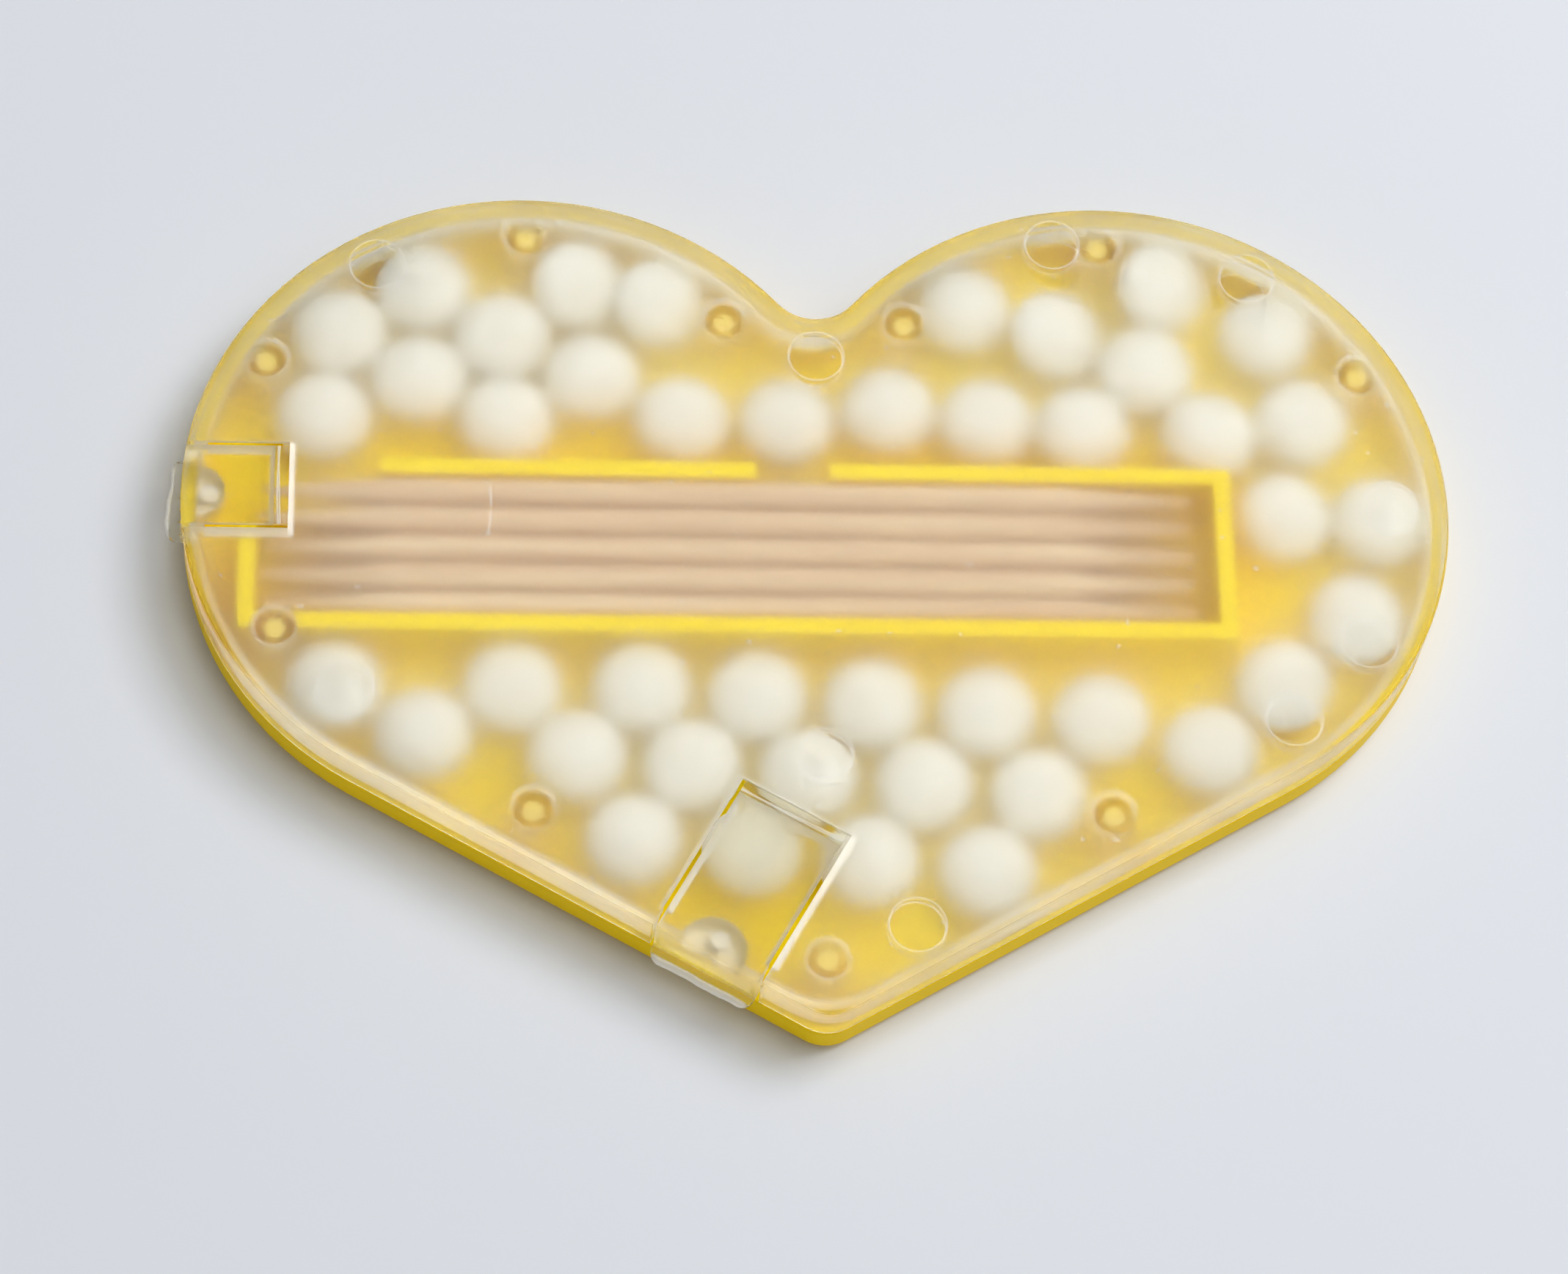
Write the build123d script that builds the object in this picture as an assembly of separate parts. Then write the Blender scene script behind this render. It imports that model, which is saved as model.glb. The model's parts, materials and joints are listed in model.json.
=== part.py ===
from build123d import *
from math import asin, atan2, cos, degrees, hypot, radians, sin, sqrt
import os

os.makedirs("parts", exist_ok=True)

# Heart outline seen from above, in millimetres; Y = 0 is the line of the lobe centres
tip_drop = 39.2
tip_radius = 2.8
inner_tip_radius = 5.0
cleft_radius = 3.4
cleft_slope = 40.97

# Heights and wall thicknesses of the two shells
tray_height = 2.8
lid_height = 3.2
floor_thickness = 1.0
plate_thickness = 1.0
wall_thickness = 1.0
base_round = 0.9
rim_round = 0.3
parting_gap = 0.05
parting_round = 0.15
inner_round = 0.6

# Toothpicks and the bay that holds them
pick_diameter = 2.0
pick_length = 65.0
pick_taper = 9.0
pick_point = 0.5
picks_across = 5
pick_slack = 0.9
pick_end_play = 1.9
bay_left_margin = 5.25
bay_right_margin = 16.35
bay_top = 2.1
rib_thickness = 1.15
rib_clearance = 0.2
top_rib_setback = 8.5
top_rib_gap_setback = 34.7
top_rib_gap = 5.2
left_rib_drop = 4.2

# Posts that join lid and tray
boss_diameter = 2.9
boss_bore = 1.46
pin_clearance = 0.03
boss_floor_gap = 0.2
pin_top_gap = 0.8
boss_wall_gap = 0.1
lobe_boss_angles = (90, 31)
cleft_boss_angle = 134
cleft_boss_gap = 1.0
flank_boss_along = 25.0
flank_boss_depth = 3.8
tip_boss_rise = 5.0

# Shallow round ejector marks under the lid plate
mark_diameter = 3.9
mark_depth = 0.12
mark_wall_gap = 1.2
right_mark_angles = (60, 99, 0, -31, -54)
left_mark_angles = (60, -51)
axis_mark_heights = (11.3, -19.6)
flank_mark_along = 8.7
flank_mark_depth = 3.2

# Flip doors: the film hinge, the slit round each flap, undercut from inside, and the finger lip
film_thickness = 0.25
film_width = 1.0
slit_gap = 0.3
slit_undercut = 0.43
door_lift = 0.1
lip_thickness = 0.7
lip_round = 0.9
pick_door_width = 6.1
pick_door_hinge_reach = 6.95
pick_door_centre = 0.45
pick_door_lip = 1.3
pick_door_pad = 2.0
mint_door_width = 7.8
mint_door_hinge_reach = 12.1
mint_door_along = 9.5
mint_door_lip = 1.1
mint_door_pad = 2.35
pad_depth = 1.5
pad_dimple = 1.3
pad_dimple_depth = 0.7
rim_zone = 1.7
cut_past_rim = 6.0

# Mints
mint_diameter = 6.8
mint_thickness = 3.5
mint_band = 1.0
mint_play = 0.06
mint_lean = 19.0
settle_turns = 400

# Moulding gate in the middle of the base
gate_diameter = 4.0
gate_depth = 0.3
gate_nub = 1.1

# Sizes that follow from the ones above; the case is as wide as its toothpicks need
heart_width = bay_left_margin + pick_length + pick_end_play + bay_right_margin
cleft_share = cos(radians(cleft_slope))
lobe_radius = (heart_width / 2 - cleft_radius * cleft_share) / (1 + cleft_share)
lobe_offset = heart_width / 2 - lobe_radius
case_height = tray_height + lid_height
ceiling = case_height - plate_thickness
rib_top = ceiling - rib_clearance
flank_angle = atan2(tip_drop, lobe_offset) - asin(lobe_radius / hypot(lobe_offset, tip_drop))
cleft_centre = (lobe_radius + cleft_radius) * sin(radians(cleft_slope))
film_low = case_height - film_thickness
bay_width = picks_across * pick_diameter + pick_slack
bay_bottom = bay_top - bay_width
bay_left = bay_left_margin - heart_width / 2
bay_right = bay_left + pick_length + pick_end_play
top_rib_start = bay_left + top_rib_setback
top_rib_gap_start = bay_left + top_rib_gap_setback
slack = 0.02


def polar(radius, angle):
    return radius * cos(radians(angle)), radius * sin(radians(angle))


def flank_point(side, along, depth):
    # A place measured from the tip along one flank and inward from its outer face
    x = along * cos(flank_angle) - depth * sin(flank_angle)
    y = along * sin(flank_angle) + depth * cos(flank_angle) - tip_drop
    return side * x, y


def lobe_point(side, angle, inset):
    x, y = polar(lobe_radius - inset, angle)
    return side * (lobe_offset + x), y


def heart(inset, tip):
    # Face of the heart, moved inward by one inset all round, with the tip rounded to its own radius
    lobe = lobe_radius - inset
    cleft = cleft_radius + inset
    tip_y = (inset + tip) / cos(flank_angle) - tip_drop
    cleft_angle = atan2(cleft_centre, -lobe_offset)
    tip_end = (tip * sin(flank_angle), tip_y - tip * cos(flank_angle))
    lobe_start = (lobe_offset + lobe * sin(flank_angle), -lobe * cos(flank_angle))
    lobe_middle = (lobe_offset + lobe * cos(radians(35)), lobe * sin(radians(35)))
    lobe_end = (lobe_offset + lobe * cos(cleft_angle), lobe * sin(cleft_angle))
    tip_bottom = (0, tip_y - tip)
    cleft_bottom = (0, cleft_centre - cleft)

    def mirrored(point):
        return -point[0], point[1]

    outline = [
        ThreePointArc(mirrored(tip_end), tip_bottom, tip_end),
        Line(tip_end, lobe_start),
        ThreePointArc(lobe_start, lobe_middle, lobe_end),
        ThreePointArc(lobe_end, cleft_bottom, mirrored(lobe_end)),
        ThreePointArc(mirrored(lobe_end), mirrored(lobe_middle), mirrored(lobe_start)),
        Line(mirrored(lobe_start), mirrored(tip_end)),
    ]
    return make_face(Curve() + outline)


def slab(inset, tip, low, high):
    return Pos(0, 0, low) * extrude(heart(inset, tip), high - low)


def post(place, diameter, low, high):
    x, y = place
    return Pos(x, y, low) * Cylinder(
        diameter / 2, high - low, align=(Align.CENTER, Align.CENTER, Align.MIN)
    )


def bar(x_low, x_high, y_low, y_high, low, high):
    return Pos(x_low, y_low, low) * Box(
        x_high - x_low,
        y_high - y_low,
        high - low,
        align=(Align.MIN, Align.MIN, Align.MIN),
    )


# Places of the bosses and of the ejector marks
boss_inset = wall_thickness + boss_diameter / 2 + boss_wall_gap
boss_places = [lobe_point(side, angle, boss_inset) for side in (1, -1) for angle in lobe_boss_angles]
boss_places += [
    lobe_point(side, cleft_boss_angle, boss_inset - boss_wall_gap + cleft_boss_gap) for side in (1, -1)
]
boss_places += [flank_point(side, flank_boss_along, flank_boss_depth) for side in (1, -1)]
boss_places += [(0, tip_boss_rise - tip_drop)]
boss_places += [(bay_left + boss_diameter / 2, bay_bottom - rib_thickness)]
mark_inset = wall_thickness + mark_diameter / 2 + mark_wall_gap - boss_wall_gap
mark_places = [lobe_point(1, angle, mark_inset) for angle in right_mark_angles]
mark_places += [lobe_point(-1, angle, mark_inset) for angle in left_mark_angles]
mark_places += [(0, height) for height in axis_mark_heights]
mark_places += [flank_point(1, flank_mark_along, flank_mark_depth)]

# Tray: rounded base, wall, bay ribs and locating pins
tray = slab(0, tip_radius, 0, tray_height)
tray = fillet(tray.edges().group_by(Axis.Z)[0], base_round)
tray = fillet(tray.edges().group_by(Axis.Z)[-1], parting_round)
tray -= slab(wall_thickness, inner_tip_radius, floor_thickness, tray_height + 1)
rib_low = floor_thickness - 0.1
rib_right = bay_right + rib_thickness
rib_left = bay_left - rib_thickness
ribs = bar(bay_left, rib_right, bay_bottom - rib_thickness, bay_bottom, rib_low, rib_top)
ribs += bar(bay_right, rib_right, bay_bottom - rib_thickness, bay_top + rib_thickness, rib_low, rib_top)
ribs += bar(top_rib_start, top_rib_gap_start, bay_top, bay_top + rib_thickness, rib_low, rib_top)
ribs += bar(
    top_rib_gap_start + top_rib_gap, rib_right, bay_top, bay_top + rib_thickness, rib_low, rib_top
)
ribs += bar(rib_left, bay_left, bay_bottom - rib_thickness, bay_top - left_rib_drop, rib_low, rib_top)
for place in boss_places:
    ribs -= post(place, boss_diameter + 2 * boss_wall_gap, floor_thickness, case_height)
tray += ribs
pin_diameter = boss_bore - 2 * pin_clearance
for place in boss_places:
    pin = post(place, pin_diameter, floor_thickness - 0.1, ceiling - pin_top_gap)
    tray += chamfer(pin.edges().group_by(Axis.Z)[-1], 0.2)
gate_place = (0, (lobe_radius - tip_drop) / 2)
tray -= post(gate_place, gate_diameter, 0, gate_depth) - post(gate_place, gate_nub, 0, gate_depth)

# Shell shared by the lid and its two doors: top plate and skirt
lid_low = tray_height + parting_gap
shell = slab(0, tip_radius, lid_low, case_height)
shell = fillet(shell.edges().group_by(Axis.Z)[-1], rim_round)
shell = fillet(shell.edges().group_by(Axis.Z)[0], parting_round)
hollow = slab(wall_thickness, inner_tip_radius, tray_height - 1, ceiling)
hollow = fillet(hollow.edges().group_by(Axis.Z)[-1], inner_round)
shell -= hollow


def wedge(back, front, width, spread):
    # Block from the hinge towards the rim: upright beside the film, spread out evenly below it
    over = 0.5
    foot = spread * (film_low - ceiling + over) / (film_low - ceiling)
    upright = bar(back, front, -width / 2, width / 2, film_low, case_height + over)
    sketch_high = Pos((back + front) / 2, 0, film_low) * Rectangle(front - back, width)
    sketch_low = Pos((back - foot + front) / 2, 0, ceiling - over) * Rectangle(
        front - back + foot, width + 2 * foot
    )
    return upright + loft([sketch_low, sketch_high])


def door_parts(place, reach, width, lip_out, pad_radius):
    # Lid cut-out, flap and hinge film of one door, each set in the case's frame
    rim_start = reach - rim_zone
    rim_end = reach + cut_past_rim
    cut_width = width + 2 * slit_gap
    above = case_height + 0.5
    opening = wedge(-film_width / 2, rim_start + slack, cut_width, slit_undercut)
    opening += bar(rim_start, rim_end, -cut_width / 2, cut_width / 2, tray_height - 1, above)
    outline = wedge(film_width / 2, rim_start + slack, width, -slit_undercut)
    outline += bar(rim_start, rim_end, -width / 2, width / 2, lid_low + door_lift, above)
    flap = shell & (place * outline)
    lip_low = lid_low + door_lift
    lip_inner = reach - wall_thickness / 2
    lip = bar(
        lip_inner, reach + lip_out, -width / 2, width / 2, lip_low, lip_low + lip_thickness
    )
    corners = lip.edges().filter_by(Axis.Z).sort_by(Axis.X)[-2:]
    lip = fillet(corners, lip_round)
    lip = fillet(lip.edges().group_by(Axis.Z)[-1].sort_by(Axis.X)[-1], lip_thickness * 0.4)
    flap += place * lip
    pad_x = reach - wall_thickness + slack
    pad = post((pad_x, 0), 2 * pad_radius, ceiling - pad_depth, ceiling + film_thickness / 2)
    pad &= bar(pad_x - pad_radius, pad_x, -pad_radius, pad_radius, 0, case_height)
    pad -= post((pad_x - pad_radius * 0.45, 0), pad_dimple, 0, ceiling - pad_depth + pad_dimple_depth)
    flap += place * pad
    film = place * bar(-film_width / 2, film_width / 2, -width / 2, width / 2, film_low, case_height)
    return place * opening, flap, film


# Toothpick door on the outer side of the left lobe, mint door on the left flank near the tip
pick_hinge_x = pick_door_hinge_reach - heart_width / 2
pick_place = Pos(pick_hinge_x, pick_door_centre, 0) * Rot(0, 0, 180)
pick_opening, pick_flap, pick_film = door_parts(
    pick_place, pick_door_hinge_reach, pick_door_width, pick_door_lip, pick_door_pad
)
hinge_x, hinge_y = flank_point(-1, mint_door_along, mint_door_hinge_reach)
mint_place = Pos(hinge_x, hinge_y, 0) * Rot(0, 0, -90 - degrees(flank_angle))
mint_opening, mint_flap, mint_film = door_parts(
    mint_place, mint_door_hinge_reach, mint_door_width, mint_door_lip, mint_door_pad
)

# Lid: shell with the two openings, bosses over the pins, ejector marks
lid = shell - pick_opening - mint_opening
for place in boss_places:
    boss = post(place, boss_diameter, floor_thickness + boss_floor_gap, ceiling + 0.1)
    boss -= post(place, boss_bore, 0, ceiling - pin_top_gap + 0.3)
    lid += boss
for place in mark_places:
    lid -= post(place, mark_diameter, ceiling - 0.01, ceiling + mark_depth)


def toothpick():
    # Round stick along X with a point at each end
    radius = pick_diameter / 2
    half = pick_length / 2
    point = pick_point / 2
    outline = Polyline(
        (-half, 0),
        (-half, point),
        (-half + pick_taper, radius),
        (half - pick_taper, radius),
        (half, point),
        (half, 0),
        (-half, 0),
    )
    return revolve(make_face(outline), Axis.X)


# Toothpicks: a lower layer on the tray floor, an upper layer lying in its grooves
pitch = (bay_width - pick_diameter - 2 * slack) / (picks_across - 1)
pick_x = bay_left + (pick_end_play * 0.2) + pick_length / 2
low_z = floor_thickness + pick_diameter / 2 + slack
rise = sqrt(max((pick_diameter + slack) ** 2 - (pitch / 2) ** 2, 0))
top_y = bay_top - pick_diameter / 2 - slack
shifts = (0.0, -0.5, 0.3, -0.2, 0.4)
picks = []
for index in range(picks_across):
    shift = shifts[index % len(shifts)] * pick_end_play * 0.3
    picks.append((pick_x + shift, top_y - index * pitch, low_z + rise))
for index in range(picks_across - 1):
    shift = shifts[(index + 2) % len(shifts)] * pick_end_play * 0.3
    picks.append((pick_x + shift, top_y - (index + 0.5) * pitch, low_z))


# Mints: loose rows given as first place, step along the row, zigzag across it, count and lean.
# Places and steps are shares of half the width and of a lobe's radius, zigzags of a mint
mint_rows = [
    (-0.764, 0.615, 0.138, 0.0, 0.57, 3, 0),
    (-0.357, 0.817, 0.122, -0.08, 0.0, 2, 1),
    (-0.782, 0.312, 0.142, 0.0, 0.49, 5, 0),
    (-0.045, 0.312, 0.163, 0.004, 0.13, 6, 0),
    (0.251, 0.737, 0.0, 0.0, 0.0, 1, 0),
    (0.391, 0.602, 0.165, -0.021, 0.0, 1, 1),
    (0.56, 0.56, 0.181, 0.067, 0.0, 2, 0),
    (0.583, 0.842, 0.0, 0.0, 0.0, 1, 1),
    (0.746, 0.013, 0.16, -0.008, 0.0, 2, 0),
    (0.606, -0.749, 0.122, 0.215, 0.0, 3, 0),
    (-0.755, -0.573, 0.138, 0.0, -0.53, 3, 0),
    (-0.278, -0.568, 0.179, -0.021, 0.0, 5, 0),
    (-0.38, -0.787, 0.179, -0.027, 0.0, 5, 0),
    (-0.292, -1.053, 0.181, -0.029, 0.0, 4, 0),
]


def push(place, centre, reach):
    # Moves a place straight out of a circle about a centre
    dx = place[0] - centre[0]
    dy = place[1] - centre[1]
    gap = max(hypot(dx, dy), 1e-6)
    if gap >= reach:
        return place
    return place[0] + dx / gap * (reach - gap), place[1] + dy / gap * (reach - gap)


def push_from_bar(place, limits, reach):
    # Moves a place out of a rib by way of the nearest point on the rib
    x_low, x_high, y_low, y_high = limits
    near = (min(max(place[0], x_low), x_high), min(max(place[1], y_low), y_high))
    return push(place, near, reach)


def keep_inside(place, reach):
    # Holds a place clear of the wall: flanks, cleft and lobes
    x, y = place
    side = 1 if x >= 0 else -1
    x = abs(x)
    depth = cos(flank_angle) * (y + tip_drop) - sin(flank_angle) * x
    if depth < reach:
        x -= sin(flank_angle) * (reach - depth)
        y += cos(flank_angle) * (reach - depth)
    x, y = push((x, y), (0, cleft_centre), cleft_radius + reach)
    dx = x - lobe_offset
    limit = lobe_radius - reach
    outside = hypot(dx, y) > limit and (dx > 0 or y > 0)
    if outside and atan2(y, dx) < atan2(cleft_centre, -lobe_offset):
        shrink = limit / hypot(dx, y)
        x = lobe_offset + dx * shrink
        y = y * shrink
    return side * x, y


def clear_of(first, second):
    # Least distance between two mints, less where both lean the same way
    if not (first[2] and second[2]):
        return mint_diameter + mint_play
    lean = radians(mint_lean)
    along = (2 * cos(lean) / mint_diameter) ** 2 + (2 * sin(lean) / mint_thickness) ** 2
    return 2 / sqrt(along) + mint_play


def nudged(index, mints):
    # Where its neighbours, the ribs, the posts and the wall move one mint to
    ribs_seen = [
        (rib_left, bay_left, bay_bottom - rib_thickness, bay_top - left_rib_drop),
        (rib_left, rib_right, bay_bottom - rib_thickness, bay_top + rib_thickness),
    ]
    reach = mint_diameter / 2 + mint_play
    place = mints[index][:2]
    for other, near in enumerate(mints):
        if other != index:
            away = push(place, near[:2], clear_of(mints[index], near))
            place = ((place[0] + away[0]) / 2, (place[1] + away[1]) / 2)
    for limits in ribs_seen:
        place = push_from_bar(place, limits, reach)
    for centre in boss_places:
        place = push(place, centre, reach + boss_diameter / 2)
    return keep_inside(place, reach + wall_thickness)


def crowding(index, mints):
    # How deep the nearest neighbour of one mint presses into it
    mint = mints[index]
    others = mints[:index] + mints[index + 1:]
    return max(clear_of(mint, near) - hypot(mint[0] - near[0], mint[1] - near[1]) for near in others)


def settle(mints):
    # Nudges the mints apart until each has room; where the chamber is too full, one is left out at a time
    while True:
        for turn in range(settle_turns):
            moved = [(*nudged(index, mints), mint[2]) for index, mint in enumerate(mints)]
            steps = [hypot(new[0] - old[0], new[1] - old[1]) for new, old in zip(moved, mints)]
            mints = moved
            if max(steps) < 0.002:
                break
        pressed = [crowding(index, mints) for index in range(len(mints))]
        if max(pressed) < mint_play * 0.8:
            return mints
        mints.pop(pressed.index(max(pressed)))


mints = []
for x, y, step_x, step_y, zigzag, count, leaning in mint_rows:
    for index in range(round(count)):
        across = (x + index * step_x) * heart_width / 2
        up = (y + index * step_y) * lobe_radius + (index % 2) * zigzag * mint_diameter
        mints.append((across, up, leaning))
mints = settle(mints)

# One tablet: two shallow domes and a short rounded band
radius = mint_diameter / 2
half = mint_thickness / 2
band = mint_band / 2
dome = (radius ** 2 + (half - band) ** 2) / (2 * (half - band))
middle = (radius / 2, half - dome + sqrt(dome ** 2 - radius ** 2 / 4))
profile = [
    ThreePointArc((0, half), middle, (radius, band)),
    Line((radius, band), (radius, -band)),
    ThreePointArc((radius, -band), (middle[0], -middle[1]), (0, -half)),
    Line((0, -half), (0, half)),
]
tablet = revolve(make_face(Plane.XZ * (Curve() + profile)), Axis.Z)
lean_rise = dome - (dome - half) * cos(radians(mint_lean))

# Export, one file per piece
pieces = {
    "tray": tray,
    "lid": lid,
    "toothpick_door": pick_flap,
    "toothpick_hinge": pick_film,
    "mint_door": mint_flap,
    "mint_hinge": mint_film,
}
stick = toothpick()
for number, (x, y, z) in enumerate(picks, 1):
    pieces[f"toothpick_{number:02d}"] = Pos(x, y, z) * stick
for number, (x, y, leaning) in enumerate(mints, 1):
    lift = floor_thickness + slack + (lean_rise if leaning else half)
    turn = Rot(0, 0, -20) * Rot(0, mint_lean, 0) if leaning else Rot(0, 0, 0)
    pieces[f"mint_{number:02d}"] = Pos(x, y, lift) * turn * tablet
for name, piece in pieces.items():
    export_step(piece, f"parts/{name}.step")
print(len(pieces), "pieces,", len(mints), "mints,", len(picks), "toothpicks")
print("mint hinge", round(hinge_x, 4), round(hinge_y, 4), "flank", round(degrees(flank_angle), 4))
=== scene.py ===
import json
import math

import bpy
from mathutils import Matrix, Vector


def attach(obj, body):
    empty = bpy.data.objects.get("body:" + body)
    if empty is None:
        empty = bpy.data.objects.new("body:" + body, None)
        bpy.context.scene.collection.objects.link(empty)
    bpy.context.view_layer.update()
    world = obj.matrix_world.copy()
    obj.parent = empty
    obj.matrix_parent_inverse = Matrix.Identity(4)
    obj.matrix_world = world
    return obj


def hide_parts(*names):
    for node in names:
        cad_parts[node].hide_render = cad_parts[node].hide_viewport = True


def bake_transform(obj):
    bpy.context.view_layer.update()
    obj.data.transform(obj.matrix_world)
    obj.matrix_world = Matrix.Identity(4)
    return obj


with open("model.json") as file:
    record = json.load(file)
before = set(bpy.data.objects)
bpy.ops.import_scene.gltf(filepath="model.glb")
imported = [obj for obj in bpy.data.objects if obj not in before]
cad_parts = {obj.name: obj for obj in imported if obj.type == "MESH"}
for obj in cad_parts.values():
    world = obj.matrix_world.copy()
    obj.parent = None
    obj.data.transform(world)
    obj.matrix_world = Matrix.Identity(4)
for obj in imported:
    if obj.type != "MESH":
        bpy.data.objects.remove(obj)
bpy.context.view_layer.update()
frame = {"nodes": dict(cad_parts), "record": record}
nodes = frame["nodes"]
mm = 0.001
perMetre = 1000.0
print("frame loaded:", len(nodes), "nodes")


class Value:
    # one socket, so that shader maths reads as plain sums
    def __init__(self, maker, socket):
        self.maker = maker
        self.socket = socket

    def maths(self, operation, first, second=0.0):
        made = self.maker.add("ShaderNodeMath", {"operation": operation}, {0: first, 1: second})
        return made["Value"]

    def __add__(self, other):
        return self.maths("ADD", self, other)

    def __radd__(self, other):
        return self.maths("ADD", other, self)

    def __sub__(self, other):
        return self.maths("SUBTRACT", self, other)

    def __rsub__(self, other):
        return self.maths("SUBTRACT", other, self)

    def __mul__(self, other):
        return self.maths("MULTIPLY", self, other)

    def __rmul__(self, other):
        return self.maths("MULTIPLY", other, self)

    def __abs__(self):
        return self.maths("ABSOLUTE", self)

    def root(self):
        return self.maths("SQRT", self)

    def power(self, other):
        return self.maths("POWER", self, other)

    def least(self, other):
        return self.maths("MINIMUM", self, other)

    def most(self, other):
        return self.maths("MAXIMUM", self, other)

    def ramp(self, low, high, lowResult=0.0, highResult=1.0):
        # smooth step from low to high
        made = self.maker.add(
            "ShaderNodeMapRange",
            {"interpolation_type": "SMOOTHSTEP"},
            {"Value": self, "From Min": low, "From Max": high, "To Min": lowResult, "To Max": highResult},
        )
        return made["Result"]

    def past(self, level, fade):
        # 0 short of a level and 1 beyond it; the fade's two ends are measured from the level
        return self.ramp(level + fade[0], level + fade[1])

    def before(self, level, fade):
        return 1.0 - self.past(level, fade)


class Made:
    # a node just added, whose outputs are read by name
    def __init__(self, maker, node):
        self.maker = maker
        self.node = node

    def __getitem__(self, name):
        return Value(self.maker, self.node.outputs[name])


class Maker:
    # adds nodes to one tree
    def __init__(self, tree):
        self.tree = tree

    def add(self, kind, settings=None, sockets=None):
        node = self.tree.nodes.new(kind)
        for key, value in (settings or {}).items():
            setattr(node, key, value)
        for key, value in (sockets or {}).items():
            if isinstance(value, Value):
                self.tree.links.new(value.socket, node.inputs[key])
            else:
                node.inputs[key].default_value = value
        return Made(self, node)

    def vector(self, operation, first, second, output="Vector"):
        return self.add("ShaderNodeVectorMath", {"operation": operation}, {0: first, 1: second})[output]


class Finish(Maker):
    # one material, with what the recipes below have in common
    def __init__(self, name):
        self.material = bpy.data.materials.new(name)
        self.material.use_nodes = True
        super().__init__(self.material.node_tree)
        self.tree.nodes.clear()
        self.place = self.add("ShaderNodeTexCoord")["Object"]

    def axes(self):
        # place on the piece in millimetres
        split = self.add("ShaderNodeSeparateXYZ", None, {0: self.place})
        return [split[axis] * perMetre for axis in "XYZ"]

    def noise(self, perMm, detail=3.0, stretch=(1, 1, 1)):
        spread = [perMm * perMetre * part for part in stretch]
        placed = self.add("ShaderNodeMapping", None, {"Vector": self.place, "Scale": spread})["Vector"]
        made = self.add("ShaderNodeTexNoise", None, {"Vector": placed, "Scale": 1.0, "Detail": detail})
        return made["Fac"]

    def tint(self, factor, first, second):
        sockets = {"Factor": factor, "A": first, "B": second}
        return self.add("ShaderNodeMix", {"data_type": "RGBA"}, sockets)["Result"]

    def bump(self, height, strength, depth):
        sockets = {"Height": height, "Strength": strength, "Distance": depth * mm}
        return self.add("ShaderNodeBump", None, sockets)["Normal"]

    def attribute(self, name):
        return self.add("ShaderNodeAttribute", {"attribute_name": name})["Fac"]

    def shader(self, sockets):
        return self.add("ShaderNodeBsdfPrincipled", None, sockets)["BSDF"]

    def glowing(self, colour):
        # light from behind, scattered through
        return self.add("ShaderNodeBsdfTranslucent", None, {"Color": colour})["BSDF"]

    def blend(self, factor, first, second):
        return self.add("ShaderNodeMixShader", None, {0: factor, 1: first, 2: second})["Shader"]

    def close(self, shader):
        self.add("ShaderNodeOutputMaterial", None, {"Surface": shader})
        return self.material


def srgb(red, green, blue):
    # a colour as seen on screen, made linear
    parts = [part / 255 for part in (red, green, blue)]
    linear = [part / 12.92 if part <= 0.04045 else ((part + 0.055) / 1.055) ** 2.4 for part in parts]
    return (*linear, 1.0)


# The heart's outline, in millimetres, as the solids have it
heart = {
    "lobeRadius": 23.75,
    "lobeOffset": 20.5,
    "tipDrop": 39.2,
    "cleftRadius": 3.4,
    "cleftCentre": 17.8,
    "wall": 1.0,
    "innerTip": 5.0,
    "seam": (-0.01, 0.01),
}
heart["flank"] = math.atan2(heart["tipDrop"], heart["lobeOffset"]) - math.asin(
    heart["lobeRadius"] / math.hypot(heart["lobeOffset"], heart["tipDrop"])
)


def rimDistance(x, y):
    # how far a place lies inside the outline, in millimetres
    side = abs(x)
    rise = y + heart["tipDrop"]
    across = side - heart["lobeOffset"]
    lobe = heart["lobeRadius"] - (across * across + y * y).root()
    slope = math.sin(heart["flank"])
    level = math.cos(heart["flank"])
    flankEnd = heart["lobeOffset"] * level + heart["tipDrop"] * slope
    flank = rise * level - side * slope
    tipRound = heart["wall"] + heart["innerTip"]
    fromTip = y - (tipRound / level - heart["tipDrop"])
    tip = tipRound - (side * side + fromTip * fromTip).root()
    flank = flank + (tip - flank) * (side * level + fromTip * slope).before(0.0, heart["seam"])
    beyond = flankEnd - (side * level + rise * slope)
    drop = y - heart["cleftCentre"]
    cleft = (side * side + drop * drop).root() - heart["cleftRadius"]
    apart = math.hypot(heart["lobeOffset"], heart["cleftCentre"])
    below = (across * heart["cleftCentre"] + y * heart["lobeOffset"]) * (-1.0 / apart)
    return lobe.most(flank.least(beyond).least(cleft).least(below))


# The two doors, measured from their hinges: "out" runs from the hinge to the rim, "across" along the hinge
doors = {
    "toothpick": {
        "body": "toothpick_flap",
        "width": 6.1,
        "reach": 6.95,
        "lip": 1.3,
        "pad": 2.0,
        "lit": 1.0,  # the side whose cut edge is painted bright, as lit
        "veil": 0.08,
        # unevenness of the lip's outer edge: height, rate and start of each wave
        "taper": 0.16,
        "waves": ((0.09, 1.2, 0.4), (0.04, 3.3, 1.9), (0.012, 8.0, 0.3)),
        "cuts": 26,
    },
    "mint": {
        "body": "mint_flap",
        "width": 7.8,
        "reach": 12.1,
        "lip": 1.1,
        "pad": 2.35,
        "lit": -1.0,
        "veil": 0.34,
        "taper": 0.0,
        "waves": ((0.03, 1.7, 0.2), (0.02, 4.1, 1.1)),
        "cuts": 18,
    },
}
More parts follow.
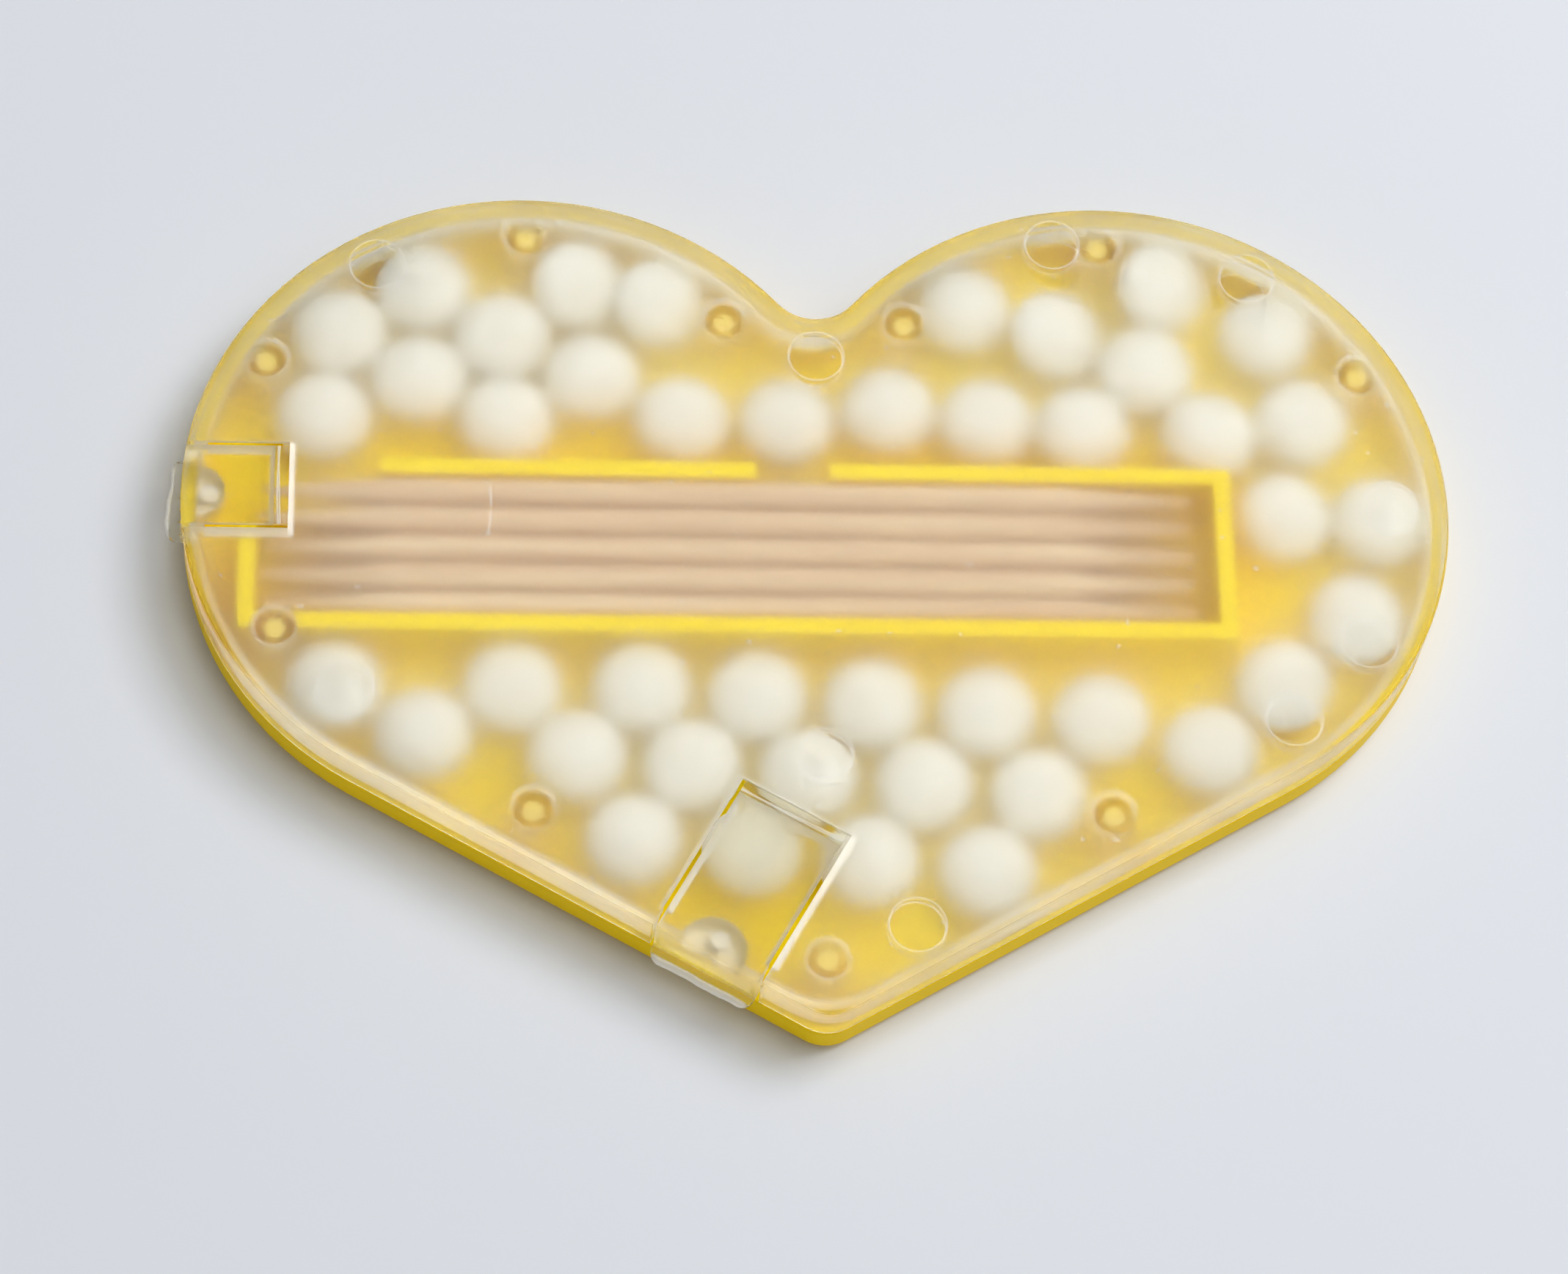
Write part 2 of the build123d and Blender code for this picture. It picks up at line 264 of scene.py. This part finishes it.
for joint in frame["record"]["behaviour"]["joints"]:
    door = doors[joint["name"].split("_")[0]]
    axisX, axisY = joint["axis"][:2]
    door["hinge"] = [part / mm for part in joint["pos_m"]]
    door["out"] = (-axisY, axisX)
    door["across"] = (-axisX, -axisY)


def doorPlace(door, x, y):
    # a place measured out from the hinge and across it, in millimetres
    aside = x - door["hinge"][0]
    ahead = y - door["hinge"][1]
    out = aside * door["out"][0] + ahead * door["out"][1]
    across = aside * door["across"][0] + ahead * door["across"][1]
    return out, across


def worldPlace(door, out, across, height):
    # the other way round from doorPlace, in metres
    x = door["hinge"][0] + out * door["out"][0] + across * door["across"][0]
    y = door["hinge"][1] + out * door["out"][1] + across * door["across"][1]
    return Vector((x, y, height)) * mm


# Yellow tray
tray = {
    "yellow": srgb(253, 226, 10),
    "deep": srgb(250, 220, 6),
    "clouds": 0.12,
    "cloudFade": (0.35, 0.7),
    # outward-facing walls: a warmer yellow, a painted glow for light through the translucent wall
    "outside": srgb(255, 214, 5),
    "middle": (0.0, -8.0, 0.0),
    "outsideFade": (5.0, 10.0),
    "roughness": 0.36,
    "shine": 0.06,
    "grain": 3.0,
    "grainRough": 0.12,
    "grainBump": (0.12, 0.02),
}


def trayFinish():
    finish = Finish("trayYellow")
    cloud = finish.noise(tray["clouds"])
    grain = finish.noise(tray["grain"], detail=4.0)
    # the outer walls, which face away from the middle, are painted a warmer yellow: a painted glow standing
    # in for light shining through the translucent wall on its shaded sides
    fromMiddle = finish.vector("SUBTRACT", finish.place, Vector(tray["middle"]) * mm)
    level = finish.vector("MULTIPLY", fromMiddle, (1.0, 1.0, 0.0))
    normal = finish.add("ShaderNodeNewGeometry")["Normal"]
    outward = finish.vector("DOT_PRODUCT", level, normal, "Value") * perMetre
    clouded = finish.tint(cloud.ramp(*tray["cloudFade"]), tray["yellow"], tray["deep"])
    return finish.close(finish.shader({
        "Base Color": finish.tint(outward.ramp(*tray["outsideFade"]), clouded, tray["outside"]),
        "Roughness": tray["roughness"] + grain * tray["grainRough"],
        "Specular IOR Level": tray["shine"],
        "Normal": finish.bump(grain, *tray["grainBump"]),
    }))


# Frosted lid: matt plate, clear skirt with a milky inner face, posts painted honey-yellow for the tray's
# yellow light carried up through them, clearer ejector marks
lid = {
    "top": 6.0,
    "topFade": (-0.05, -0.02),
    "ceiling": 5.0,
    "underFade": (0.02, 0.06),
    "postFade": (-0.4, -0.2),
    "haze": (1.0, 1.0, 1.0, 1.0),
    "clear": 0.96,
    "bend": 1.2,
    "frost": 1.0,
    "gloss": 0.85,
    "veil": 0.36,
    "grain": 6.0,
    "grainBump": (0.08, 0.02),
    # rim and skirt
    # the rim band's pale yellow is painted in for the yellow tray wall seen through the plate
    "rimTint": srgb(255, 250, 222),
    "rimFade": (0.4, 0.6),
    "side": srgb(255, 245, 208),
    "sideFade": (0.1, 0.3),
    "sideClear": 0.97,
    "sideGlow": srgb(244, 230, 186),
    "sideVeil": 0.1,
    "sideGloss": 0.25,
    "footHeight": 3.0,
    "footFade": (0.05, 0.2),
    "footWhite": 0.9,
    "innerTop": (-0.1, -0.02),
    "innerFrom": (-0.3, -0.2),
    "innerTo": (0.05, 0.5),
    "innerWhite": 0.8,
    # ejector marks
    "marks": (
        (-31.0, 18.2), (31.0, 18.2), (17.1, 20.7), (0.0, 11.3), (0.0, -19.6),
        (40.1, 0.0), (38.0, -10.6), (32.4, -16.6), (6.0, -32.1), (-32.6, -14.8),
    ),
    "markRadius": 1.95,
    "markFade": (-0.05, 0.05),
    "markGloss": 0.4,
    "markVeil": 0.5,
    "ringFade": (0.04, 0.11),
    "ringWear": 0.35,
    # posts; the paired ones stand on both sides of the middle
    "pairedPosts": ((20.7, 21.4), (6.4, 14.8), (38.6, 11.0), (19.75, -23.2)),
    "posts": ((0.0, -34.2), (-37.6, -9.95)),
    # the posts' yellow is painted light: the tray's yellow carried up through the clear posts
    "post": srgb(255, 238, 140),
    "postRadius": 1.45,
    "postWall": (-0.1, -0.05),
    "postEnd": (0.1, 0.2),
    "postClear": 0.35,
    "postGloss": 0.35,
    "postVeil": 0.8,
    "postBend": 1.06,
    # white rings round the posts and bores: painted highlights
    "postRim": (0.05, 0.16),
    "postRimWear": 0.4,
    "boreRadius": 0.73,
    "boreRim": (0.03, 0.1),
    "boreRimWear": 0.2,
    "seat": srgb(255, 228, 96),
    "seatHeight": 1.2,
    "seatFade": (0.05, 0.1),
    "seatGloss": 0.5,
    # faces of the slits round the doors, which slope away under the plate, painted white as a highlight for
    # the light they catch, with a painted shaded copy on their unlit side
    "edge": srgb(255, 253, 246),
    "edgeClear": 0.1,
    "edgeGloss": 0.4,
    "edgeDull": srgb(247, 243, 230),
    "edgeDullClear": 0.2,
    "edgeDullGloss": 0.5,
    "edgeBottom": (0.13, 0.16),
    "edgeTop": (-0.03, -0.005),
    "edgeInside": (0.45, 0.6),
    "edgeSide": (-0.1, 0.1),
    "edgeHinge": (-0.5, -0.4),
    "doorsMeet": (-31.0, -30.0),
    # the scratch is an arc, wider at its near end, and the dust is a few specks
    "scratchCentre": (-32.2, -1.15),
    "scratchRadius": 9.4,
    "scratchReach": 2.2,
    "scratchWidth": (0.04, 0.2),
    "scratchTaper": 0.5,
    "scratchFade": (0.0, 0.1),
    "scratchEnd": (-0.2, 0.0),
    "scratchSide": (0.0, 1.0),
    "scratchBreaks": 1.6,
    "breakFade": (0.3, 0.45),
    "scratchWear": 0.4,
    "specks": 1.3,
    "speckFade": (0.81, 0.83),
    "speckWear": 0.3,
}


def nearest(finish, x, y, places):
    # distance to the nearest of several places on the plan
    flat = finish.add("ShaderNodeCombineXYZ", None, {"X": x, "Y": y})["Vector"]
    gaps = [finish.vector("DISTANCE", flat, (*place, 0.0), "Value") for place in places]
    found = gaps[0]
    for gap in gaps[1:]:
        found = found.least(gap)
    return found


def cutEdge(finish, z, inset, lit):
    # where a cut edge is, its painted highlight white, and a painted shaded copy of that finish where it
    # isn't lit
    mask = z.past(lid["ceiling"], lid["edgeBottom"]) * inset.ramp(*lid["edgeInside"])
    mask = mask * z.before(lid["top"], lid["edgeTop"])
    white = finish.shader({
        "Base Color": lid["edge"],
        "Roughness": lid["edgeGloss"],
        "Transmission Weight": lid["edgeClear"],
        "IOR": lid["bend"],
    })
    shadedCopy = finish.shader({
        "Base Color": lid["edgeDull"],
        "Roughness": lid["edgeDullGloss"],
        "Transmission Weight": lid["edgeDullClear"],
        "IOR": lid["bend"],
    })
    return mask, white, finish.blend(lit, shadedCopy, white)


def slitLight(x, y):
    # which cut edges in the lid are painted as lit: one side of each slit, and its end beyond the hinge
    pickOut, pickAcross = doorPlace(doors["toothpick"], x, y)
    mintOut, mintAcross = doorPlace(doors["mint"], x, y)
    atPick = 1.0 - x.ramp(*lid["doorsMeet"])
    out = mintOut + (pickOut - mintOut) * atPick
    across = mintAcross - (pickAcross + mintAcross) * atPick
    return across.ramp(*lid["edgeSide"]).most(1.0 - out.ramp(*lid["edgeHinge"]))


def scratchMask(finish, x, y):
    centreX, centreY = lid["scratchCentre"]
    aside = x - centreX
    ahead = y - centreY
    narrow, wide = lid["scratchWidth"]
    reach = lid["scratchReach"]
    fromArc = abs((aside * aside + ahead * ahead).root() - lid["scratchRadius"])
    width = ahead.ramp(-reach, lid["scratchTaper"] - reach, wide, narrow)
    line = 1.0 - (fromArc - width).ramp(*lid["scratchFade"])
    line = line * abs(ahead).before(reach, lid["scratchEnd"]) * aside.ramp(*lid["scratchSide"])
    return line * finish.noise(lid["scratchBreaks"], detail=0.0).ramp(*lid["breakFade"])


def lidFinish():
    finish = Finish("lidFrost")
    x, y, z = finish.axes()
    inset = rimDistance(x, y)
    # where things are
    above = z.past(lid["top"], lid["topFade"])
    under = z.before(lid["ceiling"], lid["underFade"])
    low = z.before(lid["ceiling"], lid["postFade"])
    rim = 1.0 - inset.ramp(*lid["rimFade"])
    outer = (1.0 - inset.ramp(*lid["sideFade"])) * (1.0 - above)
    inner = z.before(lid["ceiling"], lid["innerTop"]) * inset.past(heart["wall"], lid["innerFrom"])
    inner = inner * inset.before(heart["wall"], lid["innerTo"])
    foot = z.before(lid["footHeight"], lid["footFade"])
    fromMark = nearest(finish, x, y, lid["marks"])
    mark = fromMark.before(lid["markRadius"], lid["markFade"])
    ring = 1.0 - abs(fromMark - lid["markRadius"]).ramp(*lid["ringFade"])
    fromPost = nearest(finish, abs(x), y, lid["pairedPosts"]).least(nearest(finish, x, y, lid["posts"]))
    postRim = (1.0 - abs(fromPost - lid["postRadius"]).ramp(*lid["postRim"])) * under
    boreRim = (1.0 - abs(fromPost - lid["boreRadius"]).ramp(*lid["boreRim"])) * low
    postWall = fromPost.past(lid["postRadius"], lid["postWall"])
    boss = low * fromPost.before(lid["postRadius"], lid["postEnd"])
    atSeat = boss * z.before(lid["seatHeight"], lid["seatFade"])
    # what they are made of
    relief = finish.bump(finish.noise(lid["grain"], detail=1.0), *lid["grainBump"])
    matt = lid["gloss"] + (lid["frost"] - lid["gloss"]) * under
    veil = finish.glowing(lid["haze"])
    plate = finish.shader({
        "Base Color": finish.tint(rim, lid["haze"], lid["rimTint"]),
        "Roughness": matt + (lid["markGloss"] - matt) * mark.most(rim),
        "Transmission Weight": lid["clear"],
        "IOR": lid["bend"],
        "Normal": relief,
    })
    plate = finish.blend(under * (1.0 - mark * lid["markVeil"]) * lid["veil"], plate, veil)
    side = finish.shader({
        "Base Color": lid["side"],
        "Roughness": lid["sideGloss"],
        "Transmission Weight": lid["sideClear"],
        "IOR": lid["bend"],
        "Normal": relief,
    })
    side = finish.blend(lid["sideVeil"], side, finish.glowing(lid["sideGlow"]))
    side = finish.blend(foot * lid["footWhite"], side, veil)
    # posts painted yellow for the tray's light carried up through them
    post = finish.shader({
        "Base Color": lid["post"],
        "Roughness": lid["postGloss"],
        "Transmission Weight": lid["postClear"],
        "IOR": lid["postBend"],
    })
    post = finish.blend(postWall * lid["postVeil"], post, finish.glowing(lid["post"]))
    seat = finish.shader({"Base Color": lid["seat"], "Roughness": lid["seatGloss"]})
    # cut edges: painted highlight on the lit side, painted shade on the other
    edge, white, edgeShader = cutEdge(finish, z, inset, slitLight(x, y))
    # scratch, dust and the worn rims of marks, and painted highlights round the rims of posts and bores
    dust = finish.noise(lid["specks"], detail=0.0).ramp(*lid["speckFade"])
    wearAndHighlights = (scratchMask(finish, x, y) * lid["scratchWear"]).most(dust * lid["speckWear"]) * above
    for mask, weight in ((ring, "ringWear"), (postRim, "postRimWear"), (boreRim, "boreRimWear")):
        wearAndHighlights = wearAndHighlights.most(mask * lid[weight])
    body = finish.blend(atSeat, finish.blend(boss, plate, post), seat)
    body = finish.blend(outer, finish.blend(inner * lid["innerWhite"], body, veil), side)
    body = finish.blend(wearAndHighlights, body, white)
    return finish.close(finish.blend(edge, body, edgeShader))


# Clear doors with a finger pad under each and a painted highlight along the lip's rim
flap = {
    "tint": srgb(255, 254, 248),
    "clear": 0.98,
    "frost": 0.95,
    "gloss": 0.6,
    "grain": 5.0,
    "grainBump": (0.06, 0.02),
    "pad": srgb(252, 244, 222),
    "padClear": 0.2,
    "padGloss": 0.6,
    "padEnd": (-0.05, 0.05),
    "padSpot": srgb(252, 249, 240),
    "spotPlace": 0.45,
    "spotRadius": 0.9,
    "spotFade": (-0.25, 0.1),
    "lipFade": (0.0, 0.1),
    "lipGloss": 0.2,
    "lipRim": (-0.4, -0.2),
    "lipRimWhite": 0.85,
    "slitFrom": (1.0, 1.1),
    "lipSet": 0.1,
}


def doorFinish(name, door):
    finish = Finish(name)
    x, y, z = finish.axes()
    inset = rimDistance(x, y)
    out, across = doorPlace(door, x, y)
    padOuter = door["reach"] - heart["wall"]
    under = z.before(lid["ceiling"], lid["underFade"])
    low = z.before(lid["ceiling"], lid["postFade"]) * out.before(padOuter, flap["padEnd"])
    spotOut = out - (padOuter - flap["spotPlace"] * door["pad"])
    fromSpot = (spotOut * spotOut + across * across).root()
    spot = fromSpot.before(flap["spotRadius"], flap["spotFade"])
    lipOut = finish.attribute("lipOut")
    lip = lipOut.ramp(*flap["lipFade"])
    lipRim = lipOut.past(door["lip"], flap["lipRim"])
    relief = finish.bump(finish.noise(flap["grain"]), *flap["grainBump"])
    matt = flap["gloss"] + (flap["frost"] - flap["gloss"]) * under
    plate = finish.shader({
        "Base Color": flap["tint"],
        "Roughness": matt + (flap["lipGloss"] - matt) * lip,
        "Transmission Weight": flap["clear"],
        "IOR": lid["bend"],
        "Normal": relief,
    })
    plate = finish.blend(under * (1.0 - lip) * door["veil"], plate, finish.glowing(lid["haze"]))
    pad = finish.shader({
        "Base Color": finish.tint(spot, flap["pad"], flap["padSpot"]),
        "Roughness": flap["padGloss"],
        "Transmission Weight": flap["padClear"],
        "IOR": lid["bend"],
        "Normal": relief,
    })
    # one side of the door's cut edge is painted lit, the other a painted shaded copy
    lit = (across * door["lit"]).ramp(*lid["edgeSide"]) * out.ramp(*flap["slitFrom"])
    edge, white, edgeShader = cutEdge(finish, z, inset, lit)
    # the lip's rim is painted white as a highlight
    body = finish.blend(lipRim * flap["lipRimWhite"], finish.blend(low, plate, pad), white)
    return finish.close(finish.blend(edge, body, edgeShader))


# Hinge films, thinner at the waist and whitened along two creases
film = {
    "width": 1.0,
    "thick": 0.25,
    "thin": 0.14,
    "waist": 0.4,
    "cells": (20, 40),
    "tint": srgb(255, 252, 240),
    "clear": 0.98,
    "gloss": 0.25,
    "grain": 5.0,
    "grainRough": 0.1,
    "grainBump": (0.1, 0.02),
    "creaseWhite": 0.85,
    "creaseClear": 0.2,
    "creaseGloss": 0.5,
    "creaseHalf": 0.07,
    "creaseRise": 0.03,
    "riseFade": 4.0,
    "slant": (0.05, 0.25),  # one end of the slanting crease, and its slant
    "bow": (0.3, 0.12),  # middle of the bowed crease, and its bow
}


def filmFinish():
    finish = Finish("filmClear")
    grain = finish.noise(film["grain"])
    clear = finish.shader({
        "Base Color": film["tint"],
        "Roughness": film["gloss"] + grain * film["grainRough"],
        "Transmission Weight": film["clear"],
        "IOR": lid["bend"],
        "Normal": finish.bump(grain, *film["grainBump"]),
    })
    white = finish.shader({
        "Base Color": lid["edge"],
        "Roughness": film["creaseGloss"],
        "Transmission Weight": film["creaseClear"],
        "IOR": lid["bend"],
    })
    return finish.close(finish.blend(finish.attribute("crease") * film["creaseWhite"], clear, white))


# Toothpicks: fibres run along X
wood = {
    "pale": srgb(234, 210, 172),
    "dark": srgb(209, 172, 135),
    "fibres": 1.2,
    "fibreStretch": (0.03, 1.0, 1.0),
    "fibreFade": (0.3, 0.75),
    "fibreShare": 0.7,
    "fleckShare": 0.3,
    "flecks": 2.5,
    "fleckStretch": (0.12, 1.0, 1.0),
    "fleckFade": (0.55, 0.8),
    "roughness": 0.6,
    "fibreRough": 0.2,
    "fibreBump": (0.5, 0.1),
}


def woodFinish():
    finish = Finish("birchWood")
    fibre = finish.noise(wood["fibres"], detail=5.0, stretch=wood["fibreStretch"])
    fleck = finish.noise(wood["flecks"], stretch=wood["fleckStretch"])
    shade = fibre.ramp(*wood["fibreFade"]) * wood["fibreShare"]
    shade = shade + fleck.ramp(*wood["fleckFade"]) * wood["fleckShare"]
    return finish.close(finish.shader({
        "Base Color": finish.tint(shade, wood["pale"], wood["dark"]),
        "Roughness": wood["roughness"] + fibre * wood["fibreRough"],
        "Normal": finish.bump(fibre, *wood["fibreBump"]),
    }))


# Mints
mint = {
    "white": srgb(241, 238, 224),
    "cream": srgb(235, 230, 213),
    "clouds": 0.5,
    "cloudFade": (0.4, 0.7),
    "powder": 5.0,
    "roughness": 0.7,
    "powderRough": 0.2,
    "powderBump": (0.35, 0.08),
    "round": 0.7,
    "steps": 4,
}


def mintFinish():
    finish = Finish("mintChalk")
    cloud = finish.noise(mint["clouds"])
    powder = finish.noise(mint["powder"], detail=5.0)
    return finish.close(finish.shader({
        "Base Color": finish.tint(cloud.ramp(*mint["cloudFade"]), mint["white"], mint["cream"]),
        "Roughness": mint["roughness"] + powder * mint["powderRough"],
        "Normal": finish.bump(powder, *mint["powderBump"]),
    }))


subparts = frame["record"]["subparts"]
finishes = {
    "yellow_tray": trayFinish(),
    "frosted_lid": lidFinish(),
    "wood": woodFinish(),
}
for entry in subparts:
    if entry["material_slot"] in finishes:
        piece = nodes[entry["node"]]
        piece.data.materials.clear()
        piece.data.materials.append(finishes[entry["material_slot"]])
print("finishes set")

weld = 0.001 * mm  # corners nearer than this are one
sharpAngle = math.radians(30)  # edges bent more than this are sharp


def makeActive(piece):
    bpy.ops.object.select_all(action="DESELECT")
    piece.select_set(True)
    bpy.context.view_layer.objects.active = piece


def copyOf(node, name, finish):
    # a copy of a solid's mesh, its triangles joined
    piece = bpy.data.objects.new(name, nodes[node].data.copy())
    bpy.context.scene.collection.objects.link(piece)
    piece.data.materials.clear()
    piece.data.materials.append(finish)
    makeActive(piece)
    bpy.ops.object.mode_set(mode="EDIT")
    bpy.ops.mesh.select_all(action="SELECT")
    bpy.ops.mesh.remove_doubles(threshold=weld)
    bpy.ops.object.mode_set(mode="OBJECT")
    return piece


def makeDoor(kind):
    # the solid's shape, with the lip's edge left as uneven as the moulding left it
    door = doors[kind]
    piece = copyOf(kind + "_door", kind + "Door", doorFinish(kind + "DoorClear", door))
    bpy.ops.object.mode_set(mode="EDIT")
    for cut in range(1, door["cuts"]):
        across = (cut / door["cuts"] - 0.5) * door["width"]
        bpy.ops.mesh.select_all(action="SELECT")
        spot = worldPlace(door, 0.0, across, 0.0)
        bpy.ops.mesh.bisect(plane_co=spot, plane_no=(*door["across"], 0.0), threshold=weld)
    bpy.ops.object.mode_set(mode="OBJECT")
    lipOut = piece.data.attributes.new("lipOut", "FLOAT", "POINT")
    for vertex, beyond in zip(piece.data.vertices, lipOut.data):
        out, across = doorPlace(door, vertex.co.x / mm, vertex.co.y / mm)
        pastRim = out - door["reach"]
        beyond.value = pastRim
        share = min(max((pastRim - flap["lipSet"]) / (door["lip"] - flap["lipSet"]), 0.0), 1.0)
        swell = sum(size * (math.sin(rate * across + start) - 1.0) for size, rate, start in door["waves"])
        pull = share * (swell - door["taper"] * (0.5 - across / door["width"]) * 2.0)
        vertex.co += Vector((*door["out"], 0.0)) * pull * mm
    makeActive(piece)
    bpy.ops.object.shade_smooth_by_angle(angle=sharpAngle)
    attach(piece, door["body"])
    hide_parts(kind + "_door")


def makeFilm(kind, finish):
    door = doors[kind]
    cellsOut, cellsAcross = film["cells"]
    bpy.ops.object.select_all(action="DESELECT")
    bpy.ops.mesh.primitive_grid_add(x_subdivisions=cellsOut, y_subdivisions=cellsAcross, size=1.0)
    piece = bpy.context.object
    piece.name = kind + "Film"
    bpy.ops.object.mode_set(mode="EDIT")
    bpy.ops.mesh.select_all(action="SELECT")
    bpy.ops.transform.resize(value=(film["width"] * mm, door["width"] * mm, 1.0))
    bpy.ops.object.mode_set(mode="OBJECT")
    solid = piece.modifiers.new("thick", "SOLIDIFY")
    solid.thickness = film["thick"] * mm
    solid.offset = -1.0
    bpy.ops.object.modifier_apply(modifier="thick")
    crease = piece.data.attributes.new("crease", "FLOAT", "POINT")
    bend = film["waist"] * film["width"]
    slantFrom, slant = film["slant"]
    bowFrom, bow = film["bow"]
    for vertex, white in zip(piece.data.vertices, crease.data):
        out = vertex.co.x / mm
        share = vertex.co.y / mm / (door["width"] / 2)
        lines = (slantFrom + slant * (1.0 - share) * 0.5, bowFrom - bow * share * share)
        gap = min(abs(out - line) for line in lines)
        white.value = max(0.0, 1.0 - gap / film["creaseHalf"])
        waist = max(0.0, 1.0 - abs(out) / bend)
        if vertex.co.z < -0.5 * film["thick"] * mm:
            vertex.co.z += (film["thick"] - film["thin"]) * waist * mm
        else:
            rise = film["creaseRise"] * white.value - film["creaseRise"]
            vertex.co.z += rise * mm * min(1.0, waist * film["riseFade"])
    piece.location = worldPlace(door, 0.0, 0.0, lid["top"])
    piece.rotation_euler.z = math.atan2(door["out"][1], door["out"][0])
    bpy.ops.object.transform_apply(location=True, rotation=True, scale=True)
    bpy.ops.object.shade_smooth_by_angle(angle=sharpAngle)
    piece.data.materials.append(finish)
    worldPlace(door, -bend, 0.0, door["hinge"][2])
    worldPlace(door, bend, 0.0, door["hinge"][2])
    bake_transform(piece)
    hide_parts(kind + "_hinge")


filmClear = filmFinish()
for kind in doors:
    makeDoor(kind)
    makeFilm(kind, filmClear)
print("doors and films made")


def makeMint(node, finish):
    # the pressed tablet with its rims worn round
    piece = copyOf(node, node.replace("mint_", "tablet"), finish)
    bpy.ops.object.mode_set(mode="EDIT")
    bpy.ops.mesh.select_mode(type="EDGE")
    bpy.ops.mesh.select_all(action="DESELECT")
    bpy.ops.mesh.edges_select_sharp(sharpness=sharpAngle)
    bpy.ops.mesh.bevel(offset=mint["round"] * mm, segments=mint["steps"], affect="EDGES", clamp_overlap=True)
    bpy.ops.object.mode_set(mode="OBJECT")
    bpy.ops.object.shade_smooth()
    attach(piece, "case")
    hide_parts(node)


mintChalk = mintFinish()
tablets = [entry["node"] for entry in subparts if entry["material_slot"] == "mint"]
for node in tablets:
    makeMint(node, mintChalk)
print("tablets made:", len(tablets))

# Floor, just under the base so that the two don't share a plane
paper = {
    "size": 2.0,
    "drop": -0.02,
    "colour": srgb(230, 233, 239),
    "roughness": 0.9,
    "fibres": 2.0,
    "fibreBump": (0.1, 0.05),
}


def paperFinish():
    finish = Finish("paperFloor")
    fibre = finish.noise(paper["fibres"], detail=4.0)
    return finish.close(finish.shader({
        "Base Color": paper["colour"],
        "Roughness": paper["roughness"],
        "Normal": finish.bump(fibre, *paper["fibreBump"]),
    }))


bpy.ops.object.select_all(action="DESELECT")
bpy.ops.mesh.primitive_plane_add(size=paper["size"], location=(0, 0, paper["drop"] * mm))
floor = bpy.context.object
floor.name = "floor"
floor.data.materials.append(paperFinish())
print("floor laid")

# Camera at the photograph's viewing angle: millimetres, degrees, and a focal length in the image's pixels
shot = {
    "target": (-2.22, -7.87, 0.0),
    "distance": 359.4,
    "azimuth": -8.18,
    "elevation": 63.73,
    "roll": 8.06,
    "focal": 7000.0,
    "imageWidth": 2137.0,
    "sensor": 36.0,
    "clip": (0.01, 10.0),
}


def placeCamera():
    turn, rise, roll = (math.radians(shot[key]) for key in ("azimuth", "elevation", "roll"))
    ahead = Vector((-math.sin(turn) * math.cos(rise), math.cos(turn) * math.cos(rise), -math.sin(rise)))
    level = Vector((math.cos(turn), math.sin(turn), 0))
    upright = level.cross(ahead)
    right = math.cos(roll) * level + math.sin(roll) * upright
    up = math.cos(roll) * upright - math.sin(roll) * level
    spot = (Vector(shot["target"]) - shot["distance"] * ahead) * mm
    data = bpy.data.cameras.new("camera")
    data.sensor_fit = "HORIZONTAL"
    data.sensor_width = shot["sensor"]
    data.lens = shot["focal"] / shot["imageWidth"] * shot["sensor"]
    data.clip_start, data.clip_end = shot["clip"]
    camera = bpy.data.objects.new("camera", data)
    camera.matrix_world = Matrix((
        (right.x, up.x, -ahead.x, spot.x),
        (right.y, up.y, -ahead.y, spot.y),
        (right.z, up.z, -ahead.z, spot.z),
        (0, 0, 0, 1),
    ))
    bpy.context.scene.collection.objects.link(camera)
    bpy.context.scene.camera = camera


# Light: a broad soft glow from the upper right, as from a window wall, a low pale card in front
# for the near sides, and a small lamp for the contact shadows
lamp = {"at": (0.32, 0.16, 0.54), "size": 0.3, "power": 2.15}
glow = {
    "lobes": (
        {"towards": (0.46, 0.21, 0.87), "strength": 1.68, "tightness": 6.0},
        {"towards": (-0.35, -0.9, 0.2), "strength": 0.9, "tightness": 8.0},
    ),
    "fill": 0.1,
    "colour": (0.97, 0.985, 1.0, 1.0),
}


def placeLights():
    data = bpy.data.lights.new("lamp", "AREA")
    data.size = lamp["size"]
    data.energy = lamp["power"]
    light = bpy.data.objects.new("lamp", data)
    light.location = lamp["at"]
    light.rotation_euler = (-Vector(lamp["at"])).to_track_quat("-Z", "Y").to_euler()
    bpy.context.scene.collection.objects.link(light)
    world = bpy.data.worlds.new("surround")
    world.use_nodes = True
    world.node_tree.nodes.clear()
    sky = Maker(world.node_tree)
    place = sky.add("ShaderNodeTexCoord")["Generated"]
    strength = glow["fill"]
    for lobe in glow["lobes"]:
        nearness = sky.vector("DOT_PRODUCT", place, Vector(lobe["towards"]).normalized(), "Value")
        strength = nearness.most(0.0).power(lobe["tightness"]) * lobe["strength"] + strength
    back = sky.add("ShaderNodeBackground", None, {"Color": glow["colour"], "Strength": strength})
    sky.add("ShaderNodeOutputWorld", None, {"Surface": back["Background"]})
    bpy.context.scene.world = world


placeCamera()
placeLights()
bpy.context.scene.view_settings.view_transform = "Standard"
# light has to get in and out through the lid, so paths are longer than usual
paths = bpy.context.scene.cycles
paths.max_bounces = 16
paths.diffuse_bounces = 7
paths.transmission_bounces = 14
print("camera and light set")
